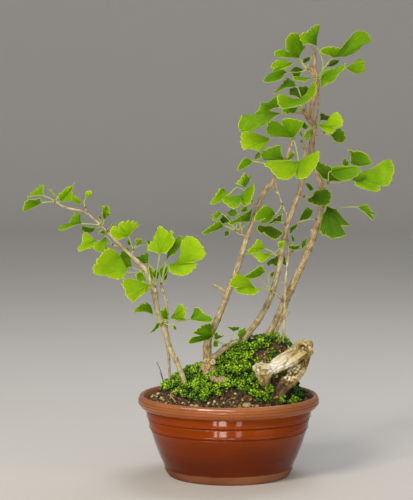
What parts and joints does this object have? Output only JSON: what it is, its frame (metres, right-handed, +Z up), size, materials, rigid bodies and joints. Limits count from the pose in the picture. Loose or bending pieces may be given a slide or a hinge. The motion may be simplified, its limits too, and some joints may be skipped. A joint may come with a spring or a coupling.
{
  "type": "ginkgo bonsai",
  "caption": "Clump of slender young ginkgo stems with fan-shaped leaves on a mossy mound with a weathered stump, in a round glazed bowl pot.",
  "frame": {"origin": "centre of the flat underside of the pot's foot", "axes": "+Z up; the plant's fullest face looks along -Y; +X is to the right seen from there, on the side of the stump and the tallest stem"},
  "size_m": [0.527, 0.26, 0.6444],
  "materials": {
    "glaze": "gloss",
    "soil": "matte",
    "moss": "matte",
    "bark": "matte",
    "leaf": "satin",
    "dark_leaf": "satin",
    "deadwood": "matte",
    "pebble": "matte"
  },
  "bodies": {
    "root": {"pot": "glaze", "soil": "soil", "ground_cover": "moss", "ground_cover_right": "moss", "deadwood": "deadwood", "dry_root": "bark", "grass_tuft": "dark_leaf", "pebble_large": "pebble", "pebble_middle": "pebble", "pebble_right": "pebble", "pebble_left": "pebble", "stem_left": "bark", "stem_front": "bark", "stem_middle": "bark", "stem_tall": "bark", "stem_thin": "bark", "spray_left_tip": "leaf", "spray_left_outer": "leaf", "spray_left_fork": "leaf", "spray_left_pair": "leaf", "spray_left_node": "leaf", "spray_left_crown": "leaf", "spray_left_elbow": "leaf", "spray_left_trunk": "leaf", "spray_left_shoot": "leaf", "spray_left_low": "leaf", "spray_foot": "dark_leaf", "spray_top_left": "leaf", "spray_top_right": "leaf", "spray_old_spur": "leaf", "spray_front_tip": "leaf", "spray_middle_tip": "leaf", "spray_front_upper": "leaf", "spray_tall_node": "leaf", "spray_tall_single": "leaf", "spray_tall_right": "leaf", "spray_middle_right": "leaf", "spray_tall_hanging": "leaf", "spray_tall_left": "leaf", "spray_front_spur": "leaf", "spray_front_twig": "leaf", "spray_front_pendant": "leaf", "spray_middle_dark": "dark_leaf", "spray_middle_spur": "leaf", "spray_middle_low": "leaf", "spray_thin": "dark_leaf"}
  },
  "joints": []
}
